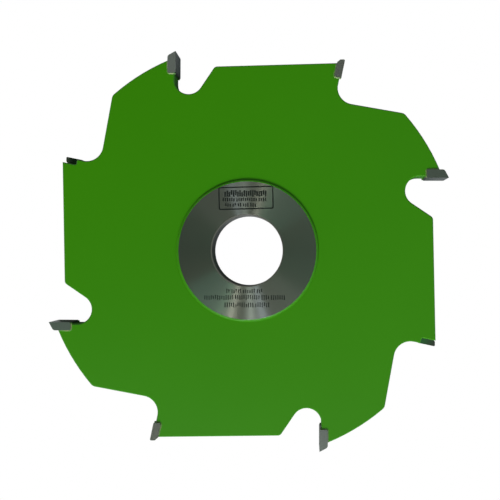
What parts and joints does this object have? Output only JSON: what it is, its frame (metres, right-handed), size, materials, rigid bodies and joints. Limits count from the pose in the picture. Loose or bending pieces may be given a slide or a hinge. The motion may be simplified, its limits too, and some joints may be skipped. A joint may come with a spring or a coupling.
{
  "type": "grooving cutter",
  "caption": "Flat steel wood-grooving cutter with a raised hub, a central bore, deep chip gullets and brazed carbide main and scoring tips.",
  "frame": {"origin": "on the bore axis, in the plane of the lower hub face that the cutter rests on", "axes": "+Z along the bore, up; +X and +Y in the plane of the disc, with the rake faces of the main tips parallel to X and Y; seen from +Z the cutter turns clockwise"},
  "size_m": [0.1694, 0.1694, 0.012],
  "materials": {
    "painted_steel": "satin green powder coat, with the hub faces and the bore ground bare",
    "carbide": "ground dark grey tungsten carbide"
  },
  "bodies": {
    "root": {"cutter_body": "painted_steel", "main_tip_1": "carbide", "main_tip_2": "carbide", "main_tip_3": "carbide", "main_tip_4": "carbide", "upper_scoring_tip_1": "carbide", "upper_scoring_tip_2": "carbide", "lower_scoring_tip_1": "carbide", "lower_scoring_tip_2": "carbide"}
  },
  "joints": []
}
